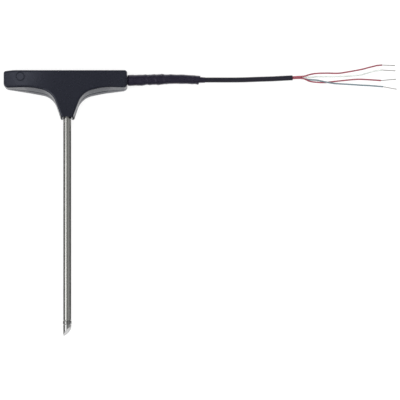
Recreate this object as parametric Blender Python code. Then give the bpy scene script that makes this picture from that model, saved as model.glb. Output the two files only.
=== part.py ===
"""T-handle insertion probe with a four-core lead, as an assembly of separate parts.

Metres, +Z up. The probe lies on its rear face: +X runs along the handle to the cable,
+Y from the tip to the handle's top, +Z out of the front face. The origin is the middle
of the footprint of handle and probe, on the surface that they lie on.

Handle sizes are written in the handle's own plane: u is measured from the tube's axis
towards the cable, v upwards from the end of the neck, and depth out of the joint plane
between the two shells. place(u, v, z) turns them into the frame above. The handle is
widest below its joint plane: its flanks lean inwards from there to the front face, across
the joint, and are rounded down to the rear face.
"""

from math import cos, pi, sin, tan

import bmesh
import bpy
from mathutils import Matrix, Vector

MM = 0.001

# Driving dimensions: the whole
LEFT_ARM = 40.5 * MM            # tube axis to the plain end of the handle
RIGHT_ARM = 38.5 * MM           # tube axis to the cable end of the handle
HANDLE_HEIGHT = 31.7 * MM       # end of the neck to the top
HANDLE_DEPTH = 15.0 * MM        # rear face to front face
PROBE_LENGTH = 138.5 * MM       # end of the neck to the point of the tip
TUBE_DIAMETER = 5.0 * MM
CABLE_DIAMETER = 3.2 * MM
CORE_DIAMETER = 0.95 * MM
STRAND_DIAMETER = 0.55 * MM     # a bared, tinned core end

# Handle shells
END_DROP = 0.75 * MM            # the top slopes down this much towards the plain end
DRAFT = 0.1 * MM
FACE_FILLET = 1.3 * MM
WIDEST_Z = 4.0 * MM             # height of the widest outline
REAR_ROUNDING = 2.4 * MM        # how far the rear edge's rounding reaches in
REAR_CORNER = 0.3 * MM          # draft of that rounding at its outer end
WALL = 2.4 * MM
JOINT_GAP = 0.3 * MM
GROOVE_INSET = 1.0 * MM         # joint groove, from the outside of the wall
GROOVE_WIDTH = 1.0 * MM
GROOVE_DEPTH = 0.9 * MM
STRIP_CLEARANCE = 0.15 * MM
RIB = 1.2 * MM
CAVITY_FLOOR = 7.6 * MM         # height of the solid end of the neck
CAVITY_FILLET = 0.8 * MM
NOTCH_HALF_WIDTH = 2.75 * MM
NOTCH_HEIGHT = 1.9 * MM
SPIGOT_LENGTH = 3.2 * MM        # stub that the cable boot grips
SPIGOT_RADIUS = 2.85 * MM
SPIGOT_CHAMFER = 0.4 * MM
SPIGOT_ROOT = 2.0 * MM          # how far the stub starts inside the wall
CABLE_BORE = 1.95 * MM
TUBE_BORE = 2.8 * MM

# Plain ring groove in the front face of the left arm
FACE_GROOVE_U = -29.7 * MM
FACE_GROOVE_V = 27.6 * MM
FACE_GROOVE_OUTER = 2.9 * MM
FACE_GROOVE_INNER = 2.3 * MM
FACE_GROOVE_DEPTH = 0.3 * MM

# Case screws, in from the rear
SCREWS = ((-33.0 * MM, 26.0 * MM), (-13.0 * MM, 26.6 * MM), (9.5 * MM, 27.3 * MM))
SCREW_RADIUS = 0.95 * MM
SCREW_LENGTH = 9.2 * MM
SCREW_HEAD_RADIUS = 1.75 * MM
SCREW_HEAD_HEIGHT = 1.5 * MM
SCREW_HEAD_SUNK = 1.0 * MM
SCREW_CLEARANCE = 0.3 * MM
SCREW_EDGE = 0.3 * MM
SCREW_POINT_RADIUS = 0.25 * MM
SOCKET_RADIUS = 0.85 * MM
SOCKET_DEPTH = 0.9 * MM
BOSS_RADIUS = 2.5 * MM

# Probe
TUBE_WALL = 0.3 * MM
TUBE_INSIDE = 19.0 * MM         # length of tube hidden in the handle
RING_HEIGHT = 2.5 * MM
RING_RADIUS = 2.7 * MM
TIP_LENGTH = 7.4 * MM
BEVEL_ACROSS = 2.4 * MM         # drop of the bevel from the axis to the side
BEVEL_FORWARD = 1.5 * MM        # drop of the bevel from the axis to the front
SPIGOT_OF_TIP = 1.85 * MM
SPIGOT_OF_TIP_LENGTH = 6.0 * MM
SEAL_FLOOR = 3.2 * MM           # tube seal's pocket, above the end of the neck
SEAL_HEIGHT = 3.0 * MM
SEAL_RADIUS = 3.7 * MM
ANCHOR_FLOOR = 11.6 * MM
ANCHOR_HEIGHT = 4.4 * MM
ANCHOR_RADIUS = 4.4 * MM
RING_CHAMFER = 0.2 * MM
SEAL_CHAMFER = 0.5 * MM
ANCHOR_CHAMFER = 0.4 * MM
FIT = 0.3 * MM                  # clearance between neighbouring pieces
CLOSE_FIT = 0.15 * MM           # clearance between nested sleeves
OVERSHOOT = 1.0 * MM            # how far a cutter starts outside what it cuts

# Sensor in the tip, its leads and the splices to the cable's cores
ELEMENT_RADIUS = 1.4 * MM
ELEMENT_LENGTH = 12.0 * MM
ELEMENT_CHAMFER = 0.2 * MM
INSULATOR_RADIUS = 1.85 * MM
INSULATOR_LENGTH = 20.0 * MM
LEAD_RADIUS = 0.3 * MM
LEAD_OFFSET = 0.75 * MM
SPLICE_START = 17.0 * MM
SPLICE_LENGTH = 7.0 * MM
SPLICE_LOW = 23.0 * MM
SPLICE_HIGH = 25.6 * MM
SPLICE_SPREAD = 1.3 * MM        # each side of the joint plane
SPLICE_BORE = 0.65 * MM
SPLICE_RADIUS = 1.0 * MM
SPLICE_CHAMFER = 0.15 * MM
CORE_SPREAD = 0.5 * MM          # core axes in the jacket, from its axis, across and in depth

# Cable entry
CABLE_HEIGHT = 25.2 * MM        # v of the cable where it leaves the handle
CABLE_START = 27.0 * MM         # u of the jacket's end inside the handle
CLAMP_START = 31.3 * MM
CLAMP_LENGTH = 4.4 * MM
CLAMP_RADIUS = 3.3 * MM
CLAMP_CHAMFER = 0.3 * MM
BOOT_LENGTH = 45.8 * MM
BOOT_COLLAR_RADIUS = 3.6 * MM
BOOT_COLLAR_LENGTH = 3.6 * MM
BOOT_SHOULDER = 1.0 * MM
BOOT_BODY_RADIUS = 3.3 * MM
BOOT_END_RADIUS = 2.65 * MM
BOOT_BORE = 2.15 * MM
SLEEVE_RADIUS = 1.95 * MM
SLEEVE_START = 60.0 * MM        # u, inside the boot
SLEEVE_LENGTH = 28.3 * MM

# Derived places
TOTAL_LENGTH = HANDLE_HEIGHT + PROBE_LENGTH
TUBE_X = (LEFT_ARM - RIGHT_ARM - SPIGOT_LENGTH) / 2
NECK_Y = TOTAL_LENGTH / 2 - HANDLE_HEIGHT
JOINT_Z = HANDLE_DEPTH / 2
JOINT_SHARE = (JOINT_Z - WIDEST_Z) / (HANDLE_DEPTH - WIDEST_Z)   # of the flank, from below
TUBE_RADIUS = TUBE_DIAMETER / 2
TIP_V = -PROBE_LENGTH
RING_V = TIP_V + TIP_LENGTH     # lower face of the dark ring
BOOT_START = RIGHT_ARM + FIT

# Resolution
ROUND = 24
SMALL_ROUND = 16
TINY_ROUND = 8
FILLET_STEPS = 3
SLEEVE_STEPS = 8

# The handle's widest outline, anticlockwise from the right of the neck's foot: corners
# u, v, the radius that rounds each one, and arc steps
WIDEST_CORNERS = (
    (4.25 * MM, 0.0, 0.9 * MM, 3),
    (9.1 * MM, 13.9 * MM, 12.4 * MM, 8),
    (23.6 * MM, 16.8 * MM, 40.0 * MM, 2),
    (RIGHT_ARM, 18.7 * MM, 2.8 * MM, 4),
    (RIGHT_ARM, HANDLE_HEIGHT, 1.5 * MM, 4),
    (-34.5 * MM, HANDLE_HEIGHT, 30.0 * MM, 2),
    (-LEFT_ARM, HANDLE_HEIGHT - END_DROP, 1.5 * MM, 4),
    (-LEFT_ARM, 19.65 * MM, 3.5 * MM, 4),
    (-23.6 * MM, 17.0 * MM, 40.0 * MM, 2),
    (-9.0 * MM, 14.3 * MM, 11.5 * MM, 8),
    (-4.1 * MM, 0.0, 0.9 * MM, 3),
)

# The sharp edge round the flat face, in the same order
FACE_CORNERS = (
    (3.65 * MM, 1.5 * MM, 0.8 * MM, 3),
    (9.95 * MM, 17.8 * MM, 13.0 * MM, 8),
    (23.6 * MM, 21.3 * MM, 40.0 * MM, 2),
    (RIGHT_ARM - DRAFT, 20.65 * MM, 1.5 * MM, 4),
    (RIGHT_ARM - DRAFT, HANDLE_HEIGHT - DRAFT, 1.5 * MM, 4),
    (-34.5 * MM, HANDLE_HEIGHT - DRAFT, 30.0 * MM, 2),
    (-LEFT_ARM + DRAFT, HANDLE_HEIGHT - DRAFT - END_DROP, 1.5 * MM, 4),
    (-LEFT_ARM + DRAFT, 20.3 * MM, 2.6 * MM, 4),
    (-23.6 * MM, 21.1 * MM, 40.0 * MM, 2),
    (-9.9 * MM, 18.4 * MM, 12.4 * MM, 8),
    (-3.45 * MM, 1.5 * MM, 0.8 * MM, 3),
)

# The cable's route from inside the handle to the cut end of its jacket: u, v, z in mm
CABLE_ROUTE = (
    (27.0, 25.2, 7.5), (38.5, 25.2, 7.5), (51.5, 25.7, 6.9), (66.5, 26.15, 5.3),
    (74.5, 26.1, 4.3), (84.8, 25.75, 2.9), (95.1, 25.75, 1.95), (105.0, 25.75, 1.65),
    (113.0, 25.85, 1.65), (121.3, 26.15, 1.65), (131.6, 26.5, 1.65), (139.3, 26.9, 1.65),
    (144.6, 27.15, 1.65),
)

# The cores' routes from the cut jacket to the ends of their insulation: u, v, z in mm
CORE_ROUTES = {
    "red_1": (
        (144.9, 27.7, 2.15), (148.0, 27.9, 2.15), (151.3, 28.1, 2.05), (153.4, 28.5, 1.7),
        (155.4, 29.2, 1.1), (159.8, 30.0, 0.5), (166.8, 30.2, 0.5), (173.9, 30.1, 0.5),
        (180.3, 31.0, 0.5), (185.4, 31.9, 0.5), (189.4, 32.7, 0.5), (193.2, 33.7, 0.5),
        (196.4, 34.5, 0.5), (199.0, 35.1, 0.5), (202.2, 35.4, 0.5),
    ),
    "white": (
        (144.9, 27.7, 1.1), (148.0, 27.85, 1.1), (151.3, 27.85, 1.0), (154.2, 27.5, 0.6),
        (157.2, 27.5, 0.5), (162.3, 28.0, 0.5), (170.3, 28.0, 0.5), (178.4, 28.1, 0.5),
        (182.9, 28.5, 0.5), (188.1, 29.0, 0.5), (192.6, 30.2, 0.5), (196.4, 31.3, 0.5),
        (199.6, 31.9, 0.5), (202.2, 32.2, 0.5),
    ),
    "red_2": (
        (144.9, 26.7, 2.1), (148.0, 26.85, 2.1), (151.0, 26.85, 2.05), (153.2, 26.0, 1.6),
        (155.3, 25.05, 1.0), (157.4, 24.6, 0.55), (160.0, 24.35, 0.5), (163.2, 24.1, 0.5),
        (166.2, 24.2, 0.5), (169.4, 24.6, 0.5), (172.6, 24.95, 0.5), (176.4, 25.35, 0.5),
        (180.3, 25.75, 0.5), (183.5, 26.05, 0.5), (187.4, 26.25, 0.5), (192.6, 26.05, 0.5),
        (197.1, 25.75, 0.5), (201.5, 25.45, 0.5),
    ),
    "blue": (
        (144.9, 26.7, 1.05), (148.0, 26.85, 1.05), (151.0, 26.75, 1.0), (153.2, 26.35, 0.6),
        (155.3, 26.0, 0.5), (157.4, 25.85, 0.5), (159.6, 25.75, 0.5), (161.6, 25.45, 0.65),
        (163.4, 25.0, 1.15), (165.0, 24.65, 1.5), (167.2, 24.2, 1.55), (169.6, 23.8, 1.4),
        (171.4, 23.55, 0.85), (173.2, 23.4, 0.55), (176.8, 23.2, 0.5), (182.9, 22.85, 0.5),
        (188.7, 22.45, 0.5), (193.2, 22.25, 0.5), (199.6, 21.75, 0.5), (202.8, 21.5, 0.5),
    ),
}

# Where each bared end stops: u, v, z in mm
STRAND_ENDS = {
    "red_1": (210.5, 35.1, 0.35),
    "white": (210.8, 31.7, 0.35),
    "red_2": (211.2, 26.3, 0.35),
    "blue": (211.6, 19.85, 0.35),
}

# Which splice each core goes to: (v, side of the joint plane)
SPLICE_OF_CORE = {
    "red_1": (SPLICE_HIGH, 1),
    "white": (SPLICE_HIGH, -1),
    "red_2": (SPLICE_LOW, 1),
    "blue": (SPLICE_LOW, -1),
}


def place(u, v, z):
    """A point of the handle's plane, at height z, in the part's frame."""
    return Vector((TUBE_X + u, NECK_Y + v, z))


def place_mm(point):
    u, v, z = point
    return place(u * MM, v * MM, z * MM)


# ---------------------------------------------------------------- materials

def finish(name, colour, roughness, metallic=0.0):
    material = bpy.data.materials.new(name)
    material.use_nodes = True
    shader = material.node_tree.nodes["Principled BSDF"]
    shader.inputs["Base Color"].default_value = (*colour, 1.0)
    shader.inputs["Roughness"].default_value = roughness
    shader.inputs["Metallic"].default_value = metallic
    material.diffuse_color = (*colour, 1.0)
    return material


# ---------------------------------------------------------------- mesh helpers

def add_object(name, mesh, material=None):
    thing = bpy.data.objects.new(name, mesh)
    bpy.context.scene.collection.objects.link(thing)
    if material:
        mesh.materials.append(material)
    return thing


def mesh_object(name, points, faces, material=None):
    """A mesh object with its faces turned outwards."""
    mesh = bpy.data.meshes.new(name)
    mesh.from_pydata([tuple(point) for point in points], [], faces)
    shape = bmesh.new()
    shape.from_mesh(mesh)
    bmesh.ops.recalc_face_normals(shape, faces=shape.faces)
    shape.to_mesh(mesh)
    shape.free()
    mesh.shade_smooth()
    mesh.set_sharp_from_angle(angle=pi / 6)
    return add_object(name, mesh, material)


def loft(name, rings, material=None):
    """A closed solid through rings with equal numbers of points, capped at both ends."""
    count = len(rings[0])
    points = [point for ring in rings for point in ring]
    faces = [tuple(range(count)), tuple((len(rings) - 1) * count + i for i in range(count))]
    for level in range(len(rings) - 1):
        low, high = level * count, (level + 1) * count
        for i in range(count):
            j = (i + 1) % count
            faces.append((low + i, low + j, high + j, high + i))
    return mesh_object(name, points, faces, material)


def hollow(name, rings, material=None):
    """A closed ring-shaped solid: its section's points, each swept round as one ring."""
    count = len(rings[0])
    points = [point for ring in rings for point in ring]
    faces = []
    for level in range(len(rings)):
        low, high = level * count, (level + 1) % len(rings) * count
        for i in range(count):
            j = (i + 1) % count
            faces.append((low + i, low + j, high + j, high + i))
    return mesh_object(name, points, faces, material)


def circle(centre, across, up, radius, sides):
    turns = (2 * pi * i / sides for i in range(sides))
    return [centre + radius * (cos(turn) * across + sin(turn) * up) for turn in turns]


def turned(name, start, direction, profile, sides, material=None, bored=False):
    """A turned piece. The profile is a list of (distance along the axis, radius)."""
    direction = Vector(direction)
    across = direction.orthogonal().normalized()
    up = direction.cross(across)
    rings = [circle(start + along * direction, across, up, radius, sides)
             for along, radius in profile]
    return hollow(name, rings, material) if bored else loft(name, rings, material)


def rod(name, start, end, radius, sides=SMALL_ROUND, material=None):
    line = end - start
    profile = ((0.0, radius), (line.length, radius))
    return turned(name, start, line.normalized(), profile, sides, material)


def block(name, corner, opposite):
    """A box between any two opposite corners."""
    shape = bmesh.new()
    bmesh.ops.create_cube(shape, size=1.0)
    size = Vector(abs(b - a) for a, b in zip(corner, opposite))
    bmesh.ops.scale(shape, vec=size, verts=shape.verts)
    bmesh.ops.translate(shape, vec=(corner + opposite) / 2, verts=shape.verts)
    mesh = bpy.data.meshes.new(name)
    shape.to_mesh(mesh)
    shape.free()
    return add_object(name, mesh)


def cut(target, cutter, operation="DIFFERENCE"):
    """Leave a Boolean on the target, and hide its cutter."""
    step = target.modifiers.new(cutter.name, "BOOLEAN")
    step.object = cutter
    step.operation = operation
    step.solver = "EXACT"
    cutter.hide_render = True
    cutter.display_type = "WIRE"


# ---------------------------------------------------------------- outlines

def rounded_outline(corners):
    """A closed outline through corners (u, v, radius, steps), each turned by an arc."""
    outline = []
    for index, (u, v, radius, steps) in enumerate(corners):
        here = Vector((u, v))
        before = (Vector(corners[index - 1][:2]) - here).normalized()
        after = (Vector(corners[(index + 1) % len(corners)][:2]) - here).normalized()
        half_angle = before.angle(after) / 2
        reach = radius / tan(half_angle)
        middle = here + (before + after).normalized() * radius / sin(half_angle)
        start = here + before * reach - middle
        sweep = start.angle_signed(here + after * reach - middle)
        for step in range(steps + 1):
            turn = Matrix.Rotation(-sweep * step / steps, 2)
            outline.append(middle + turn @ start)
    return outline


def inset(corners, distance):
    """The corners of an outline moved inwards, for corners listed anticlockwise."""
    moved = []
    for index, (u, v, radius, steps) in enumerate(corners):
        here = Vector((u, v))
        arriving = (here - Vector(corners[index - 1][:2])).normalized()
        leaving = (Vector(corners[(index + 1) % len(corners)][:2]) - here).normalized()
        turn = arriving.cross(leaving)
        inwards = Vector((-arriving.y, arriving.x)) + Vector((-leaving.y, leaving.x))
        corner = here + inwards * distance / (1 + arriving.dot(leaving))
        if turn > 0:
            new_radius = max(radius - distance, 0.3 * MM)
        else:
            new_radius = radius + distance
        moved.append((corner.x, corner.y, new_radius, steps))
    return moved


def leaning(share):
    """The corners of the flanks' outline, part of the way from the widest to the face."""
    corners = []
    for wide, face in zip(WIDEST_CORNERS, FACE_CORNERS):
        u, v, radius = (a + share * (b - a) for a, b in zip(wide[:3], face[:3]))
        corners.append((u, v, radius, wide[3]))
    return corners


def raised(corners, floor):
    """The same outline with the foot of the neck moved up its flanks to a new height."""
    def move(foot, shoulder):
        share = (floor - foot[1]) / (shoulder[1] - foot[1])
        return (foot[0] + share * (shoulder[0] - foot[0]), floor, *foot[2:])

    return [move(corners[0], corners[1]), *corners[1:-1], move(corners[-1], corners[-2])]


def outline_ring(corners, z):
    return [place(u, v, z) for u, v in rounded_outline(corners)]


def rounding(start, corner, end, steps):
    """Rings of a rounded edge, from one ring to another by way of their sharp corner."""
    rings = []
    for step in range(steps + 1):
        t = step / steps
        rings.append([(1 - t) ** 2 * a + 2 * t * (1 - t) * b + t ** 2 * c
                      for a, b, c in zip(start, corner, end)])
    return rings


def faceted_loft(name, rings, material=None):
    """A loft whose leaning faces are split into flat triangles."""
    solid = loft(name, rings, material)
    solid.modifiers.new("flat_facets", "TRIANGULATE")
    return solid


def leaning_rings(base, face, z, fillet):
    """Rings from a base ring to a face outline at height z, with a rounded edge there."""
    edge = outline_ring(face, z)
    flat = outline_ring(inset(face, fillet), z)
    shoulder = [high + (low - high).normalized() * fillet for low, high in zip(base, edge)]
    return [base, *rounding(shoulder, edge, flat, FILLET_STEPS)]


# ---------------------------------------------------------------- handle

def shell_cavity(side, label):
    """The cutter for one shell's inside, with its ribs and screw bosses left standing."""
    joint = inset(raised(leaning(JOINT_SHARE), CAVITY_FLOOR - WALL), WALL)
    face = inset(raised(FACE_CORNERS, CAVITY_FLOOR - WALL), WALL)
    end_z = JOINT_Z + side * (HANDLE_DEPTH / 2 - WALL)
    rings = leaning_rings(outline_ring(joint, JOINT_Z), face, end_z, CAVITY_FILLET)
    rings.insert(0, outline_ring(joint, JOINT_Z - side * OVERSHOOT))
    cavity = faceted_loft(f"{label}_cavity", rings)
    low_z = JOINT_Z - HANDLE_DEPTH
    high_z = JOINT_Z + HANDLE_DEPTH
    anchor_top = ANCHOR_FLOOR + ANCHOR_HEIGHT + FIT
    for number, floor in enumerate((ANCHOR_FLOOR - FIT - RIB, anchor_top), start=1):
        rib = block(f"{label}_neck_rib_{number}",
                    place(-LEFT_ARM / 2, floor, low_z),
                    place(RIGHT_ARM / 2, floor + RIB, high_z))
        cut(cavity, rib)
    entry_rib = block(f"{label}_entry_rib",
                      place(CLAMP_START - FIT - RIB, 0.0, low_z),
                      place(CLAMP_START - FIT, HANDLE_HEIGHT, high_z))
    cut(cavity, entry_rib)
    for number, (u, v) in enumerate(SCREWS, start=1):
        boss = rod(f"{label}_boss_{number}", place(u, v, low_z), place(u, v, high_z),
                   BOSS_RADIUS)
        cut(cavity, boss)
    return cavity


def shell_bores(side, label):
    """Cutters for the tube, its seal, the cable and the screws."""
    neck_end = place(0.0, -OVERSHOOT, JOINT_Z)
    over_anchor = place(0.0, TUBE_INSIDE + FIT, JOINT_Z)
    bores = [rod(f"{label}_tube_bore", neck_end, over_anchor, TUBE_BORE, ROUND)]
    pocket_low = place(0.0, SEAL_FLOOR - CLOSE_FIT, JOINT_Z)
    pocket_high = place(0.0, SEAL_FLOOR + SEAL_HEIGHT + CLOSE_FIT, JOINT_Z)
    bores.append(rod(f"{label}_seal_pocket", pocket_low, pocket_high,
                     SEAL_RADIUS + CLOSE_FIT, ROUND))
    bores.append(rod(f"{label}_cable_bore", place(CABLE_START, CABLE_HEIGHT, JOINT_Z),
                     place(2 * RIGHT_ARM, CABLE_HEIGHT, JOINT_Z), CABLE_BORE))
    bores.append(block(f"{label}_notch",
                       place(-NOTCH_HALF_WIDTH, -OVERSHOOT, JOINT_Z - HANDLE_DEPTH),
                       place(NOTCH_HALF_WIDTH, NOTCH_HEIGHT, JOINT_Z + HANDLE_DEPTH)))
    for number, (u, v) in enumerate(SCREWS, start=1):
        hole = rod(f"{label}_screw_hole_{number}", place(u, v, -OVERSHOOT),
                   place(u, v, SCREW_HEAD_SUNK + SCREW_HEAD_HEIGHT + SCREW_LENGTH + FIT),
                   SCREW_RADIUS + SCREW_CLEARANCE)
        bores.append(hole)
        if side < 0:
            seat = SCREW_HEAD_SUNK + SCREW_HEAD_HEIGHT + FIT
            bores.append(rod(f"{label}_head_recess_{number}", place(u, v, -OVERSHOOT),
                             place(u, v, seat), SCREW_HEAD_RADIUS + SCREW_CLEARANCE))
    return bores


def face_groove():
    """A ring that reaches from the groove's floor to above the front face."""
    floor = place(FACE_GROOVE_U, FACE_GROOVE_V, HANDLE_DEPTH - FACE_GROOVE_DEPTH)
    height = FACE_GROOVE_DEPTH + OVERSHOOT
    profile = ((0.0, FACE_GROOVE_INNER), (0.0, FACE_GROOVE_OUTER),
               (height, FACE_GROOVE_OUTER), (height, FACE_GROOVE_INNER))
    return turned("face_groove", floor, (0, 0, 1), profile, ROUND, bored=True)


def joint_band(name, outer, inner, top_z, bottom_z, material=None):
    """A band that follows the joint, between two insets from the handle's outside."""
    joint = leaning(JOINT_SHARE)
    rings = [outline_ring(inset(joint, distance), z)
             for distance, z in ((outer, top_z), (inner, top_z),
                                 (inner, bottom_z), (outer, bottom_z))]
    return hollow(name, rings, material)


def shell_rings(side):
    """Rings of one shell's outside, outwards from the joint."""
    start_z = JOINT_Z + side * JOINT_GAP / 2
    share = (start_z - WIDEST_Z) / (HANDLE_DEPTH - WIDEST_Z)
    joint = outline_ring(leaning(share), start_z)
    if side > 0:
        return leaning_rings(joint, FACE_CORNERS, HANDLE_DEPTH, FACE_FILLET)
    widest = outline_ring(WIDEST_CORNERS, WIDEST_Z)
    corner = outline_ring(inset(WIDEST_CORNERS, REAR_CORNER), 0.0)
    flat = outline_ring(inset(WIDEST_CORNERS, REAR_ROUNDING), 0.0)
    return [joint, *rounding(widest, corner, flat, FILLET_STEPS)]


def build_shell(name, side, material):
    """One half of the handle, with half of the spigot that the cable's boot grips."""
    shell = faceted_loft(name, shell_rings(side), material)
    length = SPIGOT_ROOT + SPIGOT_LENGTH
    spigot = turned(f"{name}_spigot", place(RIGHT_ARM - SPIGOT_ROOT, CABLE_HEIGHT, JOINT_Z),
                    (1, 0, 0), ((0.0, SPIGOT_RADIUS), (length - SPIGOT_CHAMFER, SPIGOT_RADIUS),
                                (length, SPIGOT_RADIUS - SPIGOT_CHAMFER)), ROUND)
    other_half = block(f"{name}_other_half",
                       place(0.0, 0.0, JOINT_Z - side * HANDLE_DEPTH),
                       place(2 * RIGHT_ARM, HANDLE_HEIGHT, JOINT_Z + side * JOINT_GAP / 2))
    cut(spigot, other_half)
    cut(shell, spigot, "UNION")
    cut(shell, shell_cavity(side, name))
    for bore in shell_bores(side, name):
        cut(shell, bore)
    if side > 0:
        cut(shell, face_groove())
    else:
        groove = joint_band(f"{name}_groove", GROOVE_INSET, GROOVE_INSET + GROOVE_WIDTH,
                            JOINT_Z + OVERSHOOT, JOINT_Z - JOINT_GAP / 2 - GROOVE_DEPTH)
        cut(shell, groove)


def build_seal_strips(material):
    """The seal cord in the rear shell's groove, in two lengths.

    The short one runs under the right arm from the tube seal to the cable, the long one
    round the rest of the handle.
    """
    strip_foot = SEAL_FLOOR + SEAL_HEIGHT
    far = 2 * LEFT_ARM
    cable_gap = CABLE_BORE + FIT
    removed = {
        "seal_strip_long": (
            ((-2 * NOTCH_HALF_WIDTH, -far), (0.0, strip_foot)),
            ((0.0, -far), (far, CABLE_HEIGHT + cable_gap)),
        ),
        "seal_strip_short": (
            ((-far, -far), (0.0, far)),
            ((0.0, -far), (2 * NOTCH_HALF_WIDTH, strip_foot)),
            ((0.0, CABLE_HEIGHT - cable_gap), (far, far)),
        ),
    }
    for name, regions in removed.items():
        strip = joint_band(name, GROOVE_INSET + STRIP_CLEARANCE,
                           GROOVE_INSET + GROOVE_WIDTH - STRIP_CLEARANCE,
                           JOINT_Z - JOINT_GAP / 2,
                           JOINT_Z - JOINT_GAP / 2 - GROOVE_DEPTH + STRIP_CLEARANCE, material)
        for number, (low, high) in enumerate(regions, start=1):
            cut(strip, block(f"{name}_end_{number}", place(*low, JOINT_Z - HANDLE_DEPTH),
                             place(*high, JOINT_Z + HANDLE_DEPTH)))


def build_screws(material):
    """Pan-head screws with a hexagon socket, heads sunk in the rear shell."""
    for number, (u, v) in enumerate(SCREWS, start=1):
        head = SCREW_HEAD_HEIGHT
        length = head + SCREW_LENGTH
        screw = turned(f"case_screw_{number}", place(u, v, SCREW_HEAD_SUNK), (0, 0, 1),
                       ((0.0, SCREW_HEAD_RADIUS - SCREW_EDGE), (SCREW_EDGE, SCREW_HEAD_RADIUS),
                        (head, SCREW_HEAD_RADIUS), (head, SCREW_RADIUS),
                        (length - SCREW_RADIUS, SCREW_RADIUS), (length, SCREW_POINT_RADIUS)),
                       SMALL_ROUND, material)
        socket = rod(f"case_screw_{number}_socket", place(u, v, 0.0),
                     place(u, v, SCREW_HEAD_SUNK + SOCKET_DEPTH), SOCKET_RADIUS, 6)
        cut(screw, socket)


# ---------------------------------------------------------------- probe

def build_probe(steel, dark_steel, rubber):
    tube_bottom = RING_V + RING_HEIGHT + FIT / 2
    inside = TUBE_RADIUS - TUBE_WALL
    length = TUBE_INSIDE - tube_bottom
    turned("probe_tube", place(0.0, tube_bottom, JOINT_Z), (0, 1, 0),
           ((0.0, TUBE_RADIUS), (length, TUBE_RADIUS), (length, inside), (0.0, inside)),
           ROUND, steel, bored=True)

    turned("tip_ring", place(0.0, RING_V + FIT / 2, JOINT_Z), (0, 1, 0),
           ring_section(SPIGOT_OF_TIP + FIT, RING_RADIUS, RING_HEIGHT - FIT, RING_CHAMFER),
           ROUND, dark_steel, bored=True)

    tip = turned("probe_tip", place(0.0, TIP_V, JOINT_Z), (0, 1, 0),
                 ((0.0, TUBE_RADIUS), (TIP_LENGTH - FIT / 2, TUBE_RADIUS),
                  (TIP_LENGTH - FIT / 2, SPIGOT_OF_TIP),
                  (TIP_LENGTH + SPIGOT_OF_TIP_LENGTH, SPIGOT_OF_TIP)), ROUND, steel)
    cut(tip, bevel_cutter())

    turned("tube_seal", place(0.0, SEAL_FLOOR, JOINT_Z), (0, 1, 0),
           ring_section(TUBE_RADIUS + CLOSE_FIT, SEAL_RADIUS, SEAL_HEIGHT, SEAL_CHAMFER),
           ROUND, rubber, bored=True)
    turned("tube_anchor", place(0.0, ANCHOR_FLOOR, JOINT_Z), (0, 1, 0),
           ring_section(TUBE_RADIUS + CLOSE_FIT, ANCHOR_RADIUS, ANCHOR_HEIGHT, ANCHOR_CHAMFER),
           ROUND, steel, bored=True)


def ring_section(inner, outer, height, chamfer):
    """The section of a plain ring with chamfered outer edges."""
    return ((0.0, inner), (0.0, outer - chamfer), (chamfer, outer),
            (height - chamfer, outer), (height, outer - chamfer), (height, inner))


def bevel_cutter():
    """A block whose flat side is the tip's slanted face.

    The face looks to the right, down and a little forwards, and leaves a point at the
    tube's left side.
    """
    outwards = Vector((BEVEL_ACROSS, -TUBE_RADIUS, BEVEL_FORWARD)).normalized()
    slope = (BEVEL_ACROSS ** 2 + BEVEL_FORWARD ** 2) ** 0.5
    middle = place(0.0, TIP_V + slope, JOINT_Z)
    size = 4 * TIP_LENGTH
    cutter = block("tip_bevel", Vector((-size, -size, 0.0)), Vector((size, size, size)))
    turn = outwards.to_track_quat("Z", "Y").to_matrix().to_4x4()
    cutter.matrix_world = Matrix.Translation(middle) @ turn
    return cutter


def build_sensor(ceramic, potting):
    """The sensing element in its potting, and the insulator behind it.

    Returns the height at which the leads start.
    """
    element_v = RING_V + SPIGOT_OF_TIP_LENGTH + 1.0 * MM
    narrow = ELEMENT_RADIUS - ELEMENT_CHAMFER
    turned("sensing_element", place(0.0, element_v, JOINT_Z), (0, 1, 0),
           ((0.0, narrow), (ELEMENT_CHAMFER, ELEMENT_RADIUS),
            (ELEMENT_LENGTH - ELEMENT_CHAMFER, ELEMENT_RADIUS), (ELEMENT_LENGTH, narrow)),
           SMALL_ROUND, ceramic)
    inner = ELEMENT_RADIUS + CLOSE_FIT
    outer = TUBE_RADIUS - TUBE_WALL - CLOSE_FIT
    turned("tip_potting", place(0.0, element_v, JOINT_Z), (0, 1, 0),
           ((0.0, inner), (0.0, outer), (ELEMENT_LENGTH, outer), (ELEMENT_LENGTH, inner)),
           SMALL_ROUND, potting, bored=True)
    insulator_v = element_v + ELEMENT_LENGTH + 1.5 * MM
    insulator = turned("lead_insulator", place(0.0, insulator_v, JOINT_Z), (0, 1, 0),
                       ((0.0, INSULATOR_RADIUS), (INSULATOR_LENGTH, INSULATOR_RADIUS)),
                       SMALL_ROUND, ceramic)
    for number, (u, z) in enumerate(lead_offsets(), start=1):
        bore = rod(f"insulator_bore_{number}",
                   place(u, insulator_v - OVERSHOOT, JOINT_Z + z),
                   place(u, insulator_v + INSULATOR_LENGTH + OVERSHOOT, JOINT_Z + z),
                   LEAD_RADIUS + CLOSE_FIT, TINY_ROUND)
        cut(insulator, bore)
    return element_v + ELEMENT_LENGTH + FIT


def lead_offsets():
    """Where the four leads run in the tube: across and in depth, from its axis."""
    return [(u * LEAD_OFFSET, z * LEAD_OFFSET) for u in (-1, 1) for z in (1, -1)]


# ---------------------------------------------------------------- wires

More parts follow.
